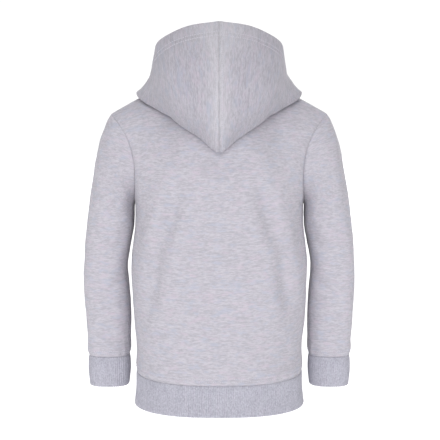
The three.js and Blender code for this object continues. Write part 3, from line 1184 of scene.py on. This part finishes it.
@dataclass
class Finishes:
    """The materials of the garment."""

    body: bpy.types.Material
    hood: bpy.types.Material
    inside: bpy.types.Material
    rib: bpy.types.Material
    rib_inside: bpy.types.Material


class Cloth:
    """What every piece of cloth shares: its mesh takes the place of the piece's plain solid."""

    name: str
    slot: str
    cut_size: FlatCut

    def sides(self, finishes: Finishes) -> tuple[Any, Any]:
        """The cloth's right side and wrong side."""
        return finishes.body, finishes.inside

    def wall(self) -> Wall:
        """The piece's wall, which each kind of piece makes."""
        raise NotImplementedError

    def build(self, finishes: Finishes) -> Wall:
        """Makes the piece, dresses it in its right and wrong side, and gives its wall."""
        wall = self.wall()
        self.place(wall, *self.sides(finishes))
        return wall

    def place(self, wall: Wall, outside: bpy.types.Material, inside: bpy.types.Material) -> Any:
        """Puts a wall of cloth into the scene in place of its plain solid.

        Args:
            wall: the wall.
            outside: the finish of its right side.
            inside: the finish of its wrong side.
        Returns:
            The piece.
        """
        mesh = wall.mesh(self.name + "_cloth")
        mesh.materials.append(outside)
        mesh.materials.append(inside)
        piece = new_object(self.name + "_cloth", mesh)
        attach(piece, BODY)
        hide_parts(self.name)
        face_area = float(cell_areas(wall.face, wall.round_piece).sum()) * MM * MM
        LOG.info("%s: %d faces, %.4f m2", piece.name, len(mesh.polygons), face_area)
        return piece


def cell_areas(face: Grid, round_piece: bool) -> np.ndarray:
    """The area of each cell of a grid, in square millimetres."""
    closed = np.concatenate([face, face[:, :1]], axis=1) if round_piece else face
    along = closed[:-1, 1:] - closed[1:, :-1]
    other = closed[1:, 1:] - closed[:-1, :-1]
    return np.linalg.norm(np.cross(along, other), axis=-1) / 2


def armhole_out(points: np.ndarray, side: int) -> np.ndarray:
    """Directions out of the armhole's tube at points on its seam."""
    middle = (ARMPIT_Z + SHOULDER_TIP_Z) / 2
    tall = points[..., 2] - middle
    return unit(stack(side * 0.3 * np.sign(tall), points[..., 1], tall))


@dataclass
class BodyPanel(Cloth):
    """The back or the front of the body, cut in one piece from the hem seam to the neck."""

    name: str
    cut: PanelCut
    creases: tuple[Crease, ...]
    cut_size: FlatCut
    seed: int
    slot: str = "fleece"
    columns: int = 168
    low_rows: int = 96
    yoke_rows: int = 88

    def wall(self) -> Wall:
        """The panel's wall, with its creases and sunken seams."""
        across = smooth_steps(self.columns)
        low = np.linspace(-1, 0, self.low_rows + 1)
        ups = np.concatenate([low, np.linspace(0, 1, self.yoke_rows + 1)[1:]])
        face = panel_point(self.cut, across[None, :], ups[:, None])
        face[..., 1] += self.cut.side * SEAM / 2
        face[0, :, 2] += SEAM / 2
        rows = run_lengths(face, 1)
        u = rows - rows[:, [self.columns // 2]]
        up = run_lengths(face, 0)
        level = face[..., 2] - face[:1, :, 2]
        flat = np.stack([u, mix(up, level, 0.6)], -1) + [97.0 * self.seed, 0]
        edge = face.copy()

        def square(normals: Grid) -> Grid:
            """Squares the cloth to its seams near them."""
            side = np.sign(across)[None, :, None]
            arm = np.stack([armhole_out(edge[:, 0], -1), armhole_out(edge[:, -1], 1)], 1)
            target = np.where(side < 0, arm[:, :1], arm[:, 1:])
            plain = np.broadcast_to(side * np.array([1.0, 0, 0]), normals.shape)
            target = np.where((ups > 0)[:, None, None], target, plain)
            near = ease(0.95, 1.0, np.abs(across))[None, :, None]
            normals = unit(mix(normals, target, near))
            shoulder = np.broadcast_to(side * np.array([0.45, 0, 0]), normals.shape) + [0, 0, 1]
            up_near = ease(0.97, 1.0, ups)[:, None, None]
            outer = (np.abs(across) > NECK_SHARE - TINY)[None, :, None]
            normals = np.where(outer, unit(mix(normals, shoulder, up_near)), normals)
            normals[0, :, 2] = 0
            return normals

        thick = np.full(face.shape[:2], FLEECE)
        wall = Wall(face, flat, thick, -self.cut.side, square=square)
        wall.lift(self.relief(face, rows, up, across))
        return wall

    def relief(
        self, face: Grid, rows: np.ndarray, from_hem: np.ndarray, across: np.ndarray
    ) -> np.ndarray:
        """How far the cloth stands off its plain form.

        Args:
            face: the plain face.
            rows: how far each point lies from the first side.
            from_hem: how far it lies from the hem seam.
            across: the columns' places across the panel.
        Returns:
            A height in millimetres at each point of the face.
        """
        chart = face[..., [0, 2]]
        to_side = np.minimum(rows, rows[:, -1:] - rows)
        to_top = from_hem[-1:] - from_hem
        height = sum((crease.height(chart) for crease in self.creases), np.zeros(rows.shape))
        height = height + 0.45 * ripple(chart, 70, self.seed) + 0.16 * ripple(chart, 24, self.seed + 1)
        height = height * ease(0, 14, to_side) * ease(0, 14, to_top) * ease(0, 16, from_hem)
        gather = 0.5 * ripple(np.stack([rows * 2.6, from_hem * 0.4], -1), 26, self.seed + 2)
        height += gather * np.exp(-from_hem / 14) * ease(0, 4, from_hem)
        height += 0.7 * hump(from_hem - 13, 9)
        height += seam_dip(from_hem, 2.8, 0.5) + seam_dip(from_hem - 7.6, 1.6, 0.35)
        height += seam_dip(to_side, 2.2, 0.4)
        shoulder = (np.abs(across) > NECK_SHARE)[None, :]
        return height + np.where(shoulder, seam_dip(to_top, 2.2, 0.4), 0)


@dataclass
class Sleeve(Cloth):
    """A set-in sleeve, from its armhole to its cuff."""

    name: str
    side: int
    creases: tuple[Crease, ...]
    cut_size: FlatCut
    seed: int
    slot: str = "fleece"
    columns: int = 156
    rows: int = 168

    def wall(self) -> Wall:
        """The sleeve's wall, with its creases and sunken seams."""
        at = np.linspace(0, SLEEVE_ROWS.places[-1], self.rows + 1)[:, None]
        turn = np.linspace(-np.pi, np.pi, self.columns + 1)[:-1][None, :]
        face = sleeve_point(at, turn)
        face[..., 0] *= self.side
        closed = np.concatenate([face, face[:, :1]], axis=1)
        rows = run_lengths(closed, 1)
        u = rows - rows[:, [self.columns // 2]]
        down = run_lengths(closed, 0)
        flat = np.stack([u, down[-1:] - down], -1)
        chart = flat[:, :-1]
        start = face[0].copy()

        def square(normals: Grid) -> Grid:
            """Squares the cloth to its seams near them."""
            out = armhole_out(start, self.side)[None]
            near = (1 - ease(0, 0.35, at))[..., None]
            normals = unit(mix(normals, out, near))
            normals[-1, :, 2] = 0
            return normals

        thick = np.full(face.shape[:2], FLEECE)
        shifted = flat * [self.side, 1] + [61.0 * self.seed, 0]
        wall = Wall(face, shifted, thick, -self.side, round_piece=True, square=square)
        wall.lift(self.relief(chart))
        return wall

    def relief(self, chart: np.ndarray) -> np.ndarray:
        """How far the cloth stands off its plain form, from its flat coordinates."""
        around, up = chart[..., 0], chart[..., 1]
        from_armhole = up[:1] - up
        height = sum((crease.height(chart) for crease in self.creases), np.zeros(up.shape))
        height = height + 0.4 * ripple(chart, 60, self.seed) + 0.15 * ripple(chart, 22, self.seed + 1)
        girth = np.abs(chart[:, :1, 0]) - np.abs(around)
        height = height * ease(0, 16, from_armhole) * ease(0, 12, up) * ease(0, 12, girth)
        wave = ripple(np.stack([around * 2.6, up * 0.5], -1), 24, self.seed + 2)
        height += 0.6 * wave * np.exp(-up / 12) * ease(0, 4, up) * ease(0, 12, girth)
        height += 1.1 * hump(up - 11, 9)
        height += seam_dip(up, 2.8, 0.5) + seam_dip(from_armhole, 2.2, 0.4)
        return height + seam_dip(girth, 2.0, 0.7)


@dataclass
class RibBand(Cloth):
    """A doubled band of ribbing sewn to the end of a tube, its lower edge a fold."""

    name: str
    ring: Callable[[np.ndarray, np.ndarray], np.ndarray]
    shape: Table
    top_z: float
    edge_z: float
    ribs: int
    outward: int
    cut_size: FlatCut
    dip: float = 0.0
    slot: str = "rib"
    rib_steps: int = 5
    rows: int = 18
    rib_depth: float = 0.32

    def sides(self, finishes: Finishes) -> tuple[Any, Any]:
        """Rib on both sides."""
        return finishes.rib, finishes.rib_inside

    def wall(self) -> Wall:
        """The band's wall, with a rib at each step round it."""
        fine = np.linspace(-np.pi, np.pi, 2001)
        down = np.linspace(0, 1, self.rows + 1)
        count = self.ribs * self.rib_steps
        rows, girths = [], []
        for share in down:
            path = self.ring(fine, self.shape.at(share, "swell"))
            along = np.concatenate(
                [[0], np.cumsum(np.linalg.norm(np.diff(path, axis=0), axis=1))]
            )
            wanted = np.linspace(0, along[-1], count + 1)
            found = np.stack([np.interp(wanted, along, path[:, k]) for k in range(2)], -1)
            turn = np.interp(wanted, along, fine)
            top = self.top_z - SEAM / 2 - self.dip * np.abs(np.cos(turn))
            z = mix(top, self.edge_z, share)
            rows.append(stack(found[:, 0], found[:, 1], z))
            girths.append(along[-1])
        closed = np.stack(rows)
        girth = float(np.mean(girths))
        u = np.broadcast_to(np.linspace(0, girth, count + 1), closed.shape[:2])
        v = np.broadcast_to(((1 - down) * (self.top_z - self.edge_z))[:, None], u.shape)
        face = closed[:, :-1].copy()
        flat = np.stack([u, v], -1)

        def square(normals: Grid) -> Grid:
            """Keeps the cloth upright at its seam."""
            normals[..., 2] *= ease(0, 0.2, down)[:, None]
            return normals

        thick = np.full(face.shape[:2], RIB) * mix(0.78, 1, ease(0, 0.2, down))[:, None]
        wall = Wall(
            face, flat, thick, self.outward, True, last_edge=Edge.FOLDED, square=square
        )
        turn = u[:, :-1] / girth * self.ribs * 2 * np.pi
        rib = np.cos(turn) * self.rib_depth * ease(0.0, 0.16, down)[:, None]
        from_seam = (down * (self.top_z - self.edge_z))[:, None]
        uneven = 0.15 * ripple(flat[:, :-1] * np.array([1.0, 0.6]), 46, len(self.name))
        settle = uneven * ease(0, 8, from_seam)
        wall.lift(rib - self.rib_depth + settle + seam_dip(from_seam, 3.0, 0.5), settle=False)
        return wall


def hem_ring(turn: np.ndarray, swell: float) -> np.ndarray:
    """The hem band's outline by angle from the back, in plan."""
    behind = np.abs(turn) <= np.pi / 2
    row = {name: float(BODY_ROWS.at(HEM_SEAM_Z, name)) for name in BODY_ROWS.columns}
    across = np.where(behind, turn, np.sign(turn) * (np.pi - np.abs(turn))) / (np.pi / 2)
    back = body_ring(row["half"] + swell, row["back"] + swell, 1, across, 0)
    front = body_ring(row["half"] + swell, row["front"] + swell, -1, across, 0)
    return np.where(behind[:, None], back, front)


def cuff_ring(side: int) -> Callable[[np.ndarray, float], np.ndarray]:
    """The outline of a cuff on that side, by angle from its outer side, in plan."""

    def ring(turn: np.ndarray, swell: float) -> np.ndarray:
        """The outline swollen that far."""
        found = sleeve_ring(np.full(turn.shape, SLEEVE_ROWS.places[-1]), turn)
        found[:, 0] = side * (found[:, 0] + swell * np.cos(turn))
        found[:, 1] += swell * np.sin(turn)
        return found

    return ring


@dataclass
class HoodHalf(Cloth):
    """One side of the hood, lying down on the back with its opening up."""

    name: str
    side: int
    cut_size: FlatCut
    seed: int
    hem_depth: float = 27.0
    stitch_lines: tuple[float, float] = (17.5, 24.0)
    slot: str = "hood_fleece"
    columns: int = 150
    steps: HoodSteps = HoodSteps()

    def sides(self, finishes: Finishes) -> tuple[Any, Any]:
        """The hood has its right side out on both faces."""
        return finishes.hood, finishes.hood

    def wall(self) -> Wall:
        """The half's wall, with its hem and sunken seams."""
        s = np.linspace(0, 1, self.columns + 1)
        face = hood_face(s, self.steps)
        face[..., 0] = self.side * (face[..., 0] + SEAM / 2)
        rows = run_lengths(face, 1)
        u = rows[:, -1:] - rows
        down = run_lengths(face, 0)
        flat = np.stack([u, down], -1)
        to_rim = down[-1:] - down

        def square(normals: Grid) -> Grid:
            """Keeps the centre seam in its plane."""
            near = 1 - ease(0, 4, np.minimum(u, rows))
            normals[..., 0] *= 1 - near
            return normals

        turned = 1 - ease(self.hem_depth - 1.0, self.hem_depth + 1.5, to_rim)
        thick = mix(FLEECE, TURNED_HEM, turned)
        shifted = flat * [self.side, 1] + [53.0 * self.seed, 0]
        # A paler colour along the hood's centre seam, broader near the rim; it goes into the colour
        # through the pale attribute, not into the shape.
        centre_paleness = hump(u, 14) * ease(60, 190, down)
        centre_paleness += 0.9 * hump(u, 40) * (1 - ease(14, 64, to_rim))
        wall = Wall(
            face,
            shifted,
            thick,
            self.side,
            last_edge=Edge.FOLDED,
            square=square,
            pale=np.clip(centre_paleness, 0, 1),
        )
        wall.lift(self.relief(flat, to_rim, rows))
        return wall

    def relief(self, flat: np.ndarray, to_rim: np.ndarray, to_throat: np.ndarray) -> np.ndarray:
        """How far the cloth stands off its plain form.

        Args:
            flat: its flat coordinates.
            to_rim: how far each point lies from the rim.
            to_throat: how far each point lies from the seam at the throat.
        Returns:
            A height in millimetres at each point of the face.
        """
        from_neck = flat[..., 1]
        to_seam = flat[..., 0]
        free = ease(60, 110, from_neck)
        height = free * (0.7 * ripple(flat, 62, self.seed) + 0.2 * ripple(flat, 24, self.seed + 1))
        height = height * ease(0, 16, np.minimum(to_seam, to_throat)) * ease(0, 26, to_rim)
        for line in self.stitch_lines:
            height += seam_dip(to_rim - line, 1.3, 0.5)
        height += seam_dip(to_rim - self.hem_depth - 1, 2.2, 0.35)
        sewn = ease(0, 20, from_neck) * mix(0.25, 1, ease(2, 30, to_rim))
        height += (seam_dip(to_seam, 1.4, 0.9) + seam_dip(to_throat, 1.4, 0.7)) * sewn
        height += 0.4 * hump(to_seam - 3.6, 2.2) * free
        height += 3.0 * hump(to_seam, 22) * free * ease(-6, 40, to_rim)
        return height


@dataclass
class Studio:
    """The pale floor, soft light and camera."""

    floor_z: float = -0.9
    camera_at: tuple[float, float, float] = (-0.0011, 1.5, -0.06)
    camera_aim: tuple[float, float, float] = (-0.0011, 0.0, -0.19)
    lens: float = 88.0

    def build(self) -> None:
        """Makes all of it."""
        self.camera()
        self.floor()
        self.lights()

    def camera(self) -> None:
        """Makes the camera, level with the shoulders behind the wearer."""
        data = bpy.data.cameras.new("camera")
        data.lens = self.lens
        data.sensor_width = 36.0
        data.clip_end = 60.0
        camera = bpy.data.objects.new("camera", data)
        bpy.context.scene.collection.objects.link(camera)
        at, aim = Vector(self.camera_at), Vector(self.camera_aim)
        camera.location = at
        camera.rotation_euler = (aim - at).to_track_quat("-Z", "Y").to_euler()
        bpy.context.scene.camera = camera

    def floor(self) -> None:
        """Makes the floor."""
        reach = 30.0
        corners = [(-reach, -reach), (reach, -reach), (reach, reach), (-reach, reach)]
        mesh = bpy.data.meshes.new("floor")
        mesh.from_pydata([(x, y, self.floor_z) for x, y in corners], [], [(0, 1, 2, 3)])
        desk = Desk("pale_floor")
        desk.shader.inputs["Base Color"].default_value = (0.85, 0.85, 0.85, 1)
        desk.shader.inputs["Roughness"].default_value = 0.9
        desk.shader.inputs["Emission Color"].default_value = (1, 1, 1, 1)
        desk.shader.inputs["Emission Strength"].default_value = 0.6
        mesh.materials.append(desk.material)
        new_object("floor", mesh)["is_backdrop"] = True

    def lights(self) -> None:
        """Makes the soft lights and the pale surroundings."""
        world = bpy.data.worlds.new("surroundings")
        world.use_nodes = True
        tree = world.node_tree
        sky = tree.nodes["Background"]
        sky.inputs["Color"].default_value = (0.98, 0.98, 1.0, 1)
        sky.inputs["Strength"].default_value = 0.23
        clear = tree.nodes.new("ShaderNodeBackground")
        clear.inputs["Color"].default_value = (1, 1, 1, 1)
        clear.inputs["Strength"].default_value = 1.05
        seen = tree.nodes.new("ShaderNodeLightPath")
        both = tree.nodes.new("ShaderNodeMixShader")
        tree.links.new(seen.outputs["Is Camera Ray"], both.inputs[0])
        tree.links.new(sky.outputs[0], both.inputs[1])
        tree.links.new(clear.outputs[0], both.inputs[2])
        tree.links.new(both.outputs[0], tree.nodes["World Output"].inputs[0])
        bpy.context.scene.world = world
        bpy.context.scene.view_settings.view_transform = "Standard"
        self.sun("key", (0.04, 1.0, 0.28), 1.28, 40)
        self.sun("high_key", (0.04, 1.0, 1.0), 0.78, 60)
        self.sun("front_fill", (-0.15, -1.0, 0.3), 1.5, 60)
        self.sun("top", (0.1, 0.25, 1.0), 0.5, 80)

    def sun(self, name: str, towards: tuple[float, float, float], strength: float, wide: float) -> None:
        """Adds a broad, soft sun.

        Args:
            name: its name.
            towards: the direction it stands in.
            strength: its strength.
            wide: its angle in degrees.
        """
        data = bpy.data.lights.new(name, "SUN")
        data.energy = strength
        data.angle = math.radians(wide)
        sun = bpy.data.objects.new(name, data)
        bpy.context.scene.collection.objects.link(sun)
        sun.rotation_euler = Vector(towards).to_track_quat("Z", "Y").to_euler()


BACK_CREASES = (Crease((-46, -106), (46, -106), 15, 2.2),) + tuple(
    Crease((side * x0, z0), (side * x1, z1), width, depth, side * bow)
    for side in (1, -1)
    for x0, z0, x1, z1, width, depth, bow in (
        (52, -126, 86, -232, 11, 7.0, -4),
        (85, -208, 97, -318, 10, 6.0, -3),
        (20, -120, 34, -210, 14, 1.6, 3),
        (104, -176, 112, -250, 7, 1.8, 0),
        (66, -300, 40, -372, 16, 1.3, 4),
        (14, -268, 70, -282, 10, 1.0, 3),
    )
)

FRONT_CREASES = tuple(
    Crease((side * x0, z0), (side * x1, z1), width, depth, side * bow)
    for side in (1, -1)
    for x0, z0, x1, z1, width, depth, bow in (
        (58, -118, 90, -226, 10, 3.6, -4),
        (84, -214, 96, -318, 9, 2.6, -3),
        (24, -100, 10, -190, 13, 1.8, 3),
        (60, -304, 30, -366, 15, 1.5, 4),
        (12, -250, 64, -268, 10, 1.1, 3),
    )
)


SLEEVE_CREASES = tuple(
    Crease((x0, z0), (x1, z1), width, depth, bow)
    for x0, z0, x1, z1, width, depth, bow in (
        (96, 232, 58, 214, 6, 2.4, 2),
        (98, 206, 54, 196, 6, 2.0, -2),
        (92, 176, 60, 150, 7, 1.8, 2),
        (88, 118, 48, 92, 7, 1.8, 3),
        (80, 76, 44, 58, 6, 1.6, -2),
        (34, 52, 66, 34, 6, 1.3, 2),
        (-98, 226, -60, 204, 6, 2.2, 2),
        (-92, 160, -56, 140, 7, 1.8, 2),
        (-86, 110, -44, 84, 7, 1.8, -3),
        (-40, 62, -70, 40, 6, 1.5, 2),
        (20, 300, 34, 214, 10, 1.5, 3),
    )
)


class Hoodie:
    """The whole garment."""

    def __init__(self) -> None:
        """Mixes the finishes and lists the pieces."""
        self.finishes = Finishes(
            body=MarlKnit(
                "marl_jersey", (198, 195, 203), (175, 172, 181), (202, 189, 202), (177, 183, 200)
            ).make(),
            hood=MarlKnit(
                "marl_jersey_hood",
                (187, 184, 193),
                (163, 160, 169),
                (189, 177, 190),
                (165, 170, 187),
                course=Course.ALONG,
            ).make(),
            inside=BrushedBack("brushed_back", (196, 193, 202), (171, 169, 179)).make(),
            rib=RibKnit("speckled_rib", (186, 185, 196), (157, 156, 168), (205, 203, 213), 3.0).make(),
            rib_inside=BrushedBack("rib_inside", (186, 184, 194), (162, 161, 172)).make(),
        )
        thread = SewingThread("thread", (208, 206, 215), (197, 195, 205)).make()
        self.stitches = StitchTree(thread)
        self.sewing = Sewing()
        self.back = BodyPanel("back_panel", BACK, BACK_CREASES, FlatCut(345, 400, 0.125), 5)
        self.front = BodyPanel("front_panel", FRONT, FRONT_CREASES, FlatCut(345, 385, 0.120), 9)
        self.hem = RibBand(
            "hem_band",
            hem_ring,
            Table("down swell", ((0, 0.6), (0.5, 0.8), (1, 3))),
            HEM_SEAM_Z,
            HEM_EDGE_Z,
            226,
            1,
            FlatCut(690, 46, 0.0312),
            dip=HEM_DIP,
        )
        self.sides = {"left": 1, "right": -1}

    def build(self) -> None:
        """Makes every piece and its stitching."""
        back, front = self.back.build(self.finishes), self.front.build(self.finishes)
        self.hem.build(self.finishes)
        rows = [
            path_beside(wall.face, wall.normals, 0, far, STITCH_LIFT)
            for wall in (back, front)
            for far in HEM_STITCHES
        ]
        self.stitch("body", rows)
        for suffix, side in self.sides.items():
            self.side(suffix, side)

    def side(self, suffix: str, side: int) -> None:
        """Makes the pieces of one side of the garment."""
        sleeve = Sleeve(
            f"sleeve_{suffix}", side, SLEEVE_CREASES, FlatCut(300, 345, 0.070), 21 + 6 * side
        )
        cuff = RibBand(
            f"cuff_{suffix}",
            cuff_ring(side),
            Table("down swell", ((0, 0.4), (0.5, 1), (1, -1))),
            CUFF_SEAM_Z,
            CUFF_EDGE_Z,
            60,
            -side,
            FlatCut(178, 44, 0.0077),
        )
        hood = HoodHalf(f"hood_{suffix}", side, FlatCut(240, 340, 0.045), 33 + 4 * side)
        arm = sleeve.build(self.finishes)
        cuff.build(self.finishes)
        cover = hood.build(self.finishes)
        arm_rows = [
            self.closed(path_beside(arm.face[::-1], arm.normals[::-1], 0, far, STITCH_LIFT))
            for far in CUFF_STITCHES
        ]
        self.stitch(f"sleeve_{suffix}", arm_rows)
        rim = [
            path_beside(cover.face[::-1], cover.normals[::-1], 0, far, STITCH_LIFT)
            for far in hood.stitch_lines
        ]
        seam = path_beside(
            cover.face[:, ::-1], cover.normals[:, ::-1], 1, CENTRE_STITCH, STITCH_LIFT
        )
        self.stitch(f"hood_{suffix}", [*rim, seam[hood.steps.before_wall - 6 :]])

    @staticmethod
    def closed(path: np.ndarray) -> np.ndarray:
        """A path round a tube brought back to its start."""
        return np.concatenate([path, path[:1]])

    def stitch(self, name: str, paths: Sequence[np.ndarray]) -> None:
        """Sews rows of stitches as one piece."""
        piece = self.stitches.sew(f"stitches_{name}", paths, self.sewing)
        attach(piece, BODY)
        LOG.info("%s: %d faces", piece.name, len(piece.data.polygons))


def corners(box: tuple[Any, Any]) -> list[list[float]]:
    """A box's corners as plain lists."""
    return [[float(value) for value in corner] for corner in box]


def write_sizes() -> None:
    """Works out the solid model's box and the visual model's."""
    sizes = {"cad": corners((CAD_LOW, CAD_HIGH)), "visual": corners(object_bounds())}


def main() -> None:
    """Builds the studio and the garment."""
    logging.basicConfig(level=logging.INFO, format="%(message)s")
    Studio().build()
    LOG.info("studio ready")
    Hoodie().build()
    write_sizes()


if __name__ == "__main__":
    main()
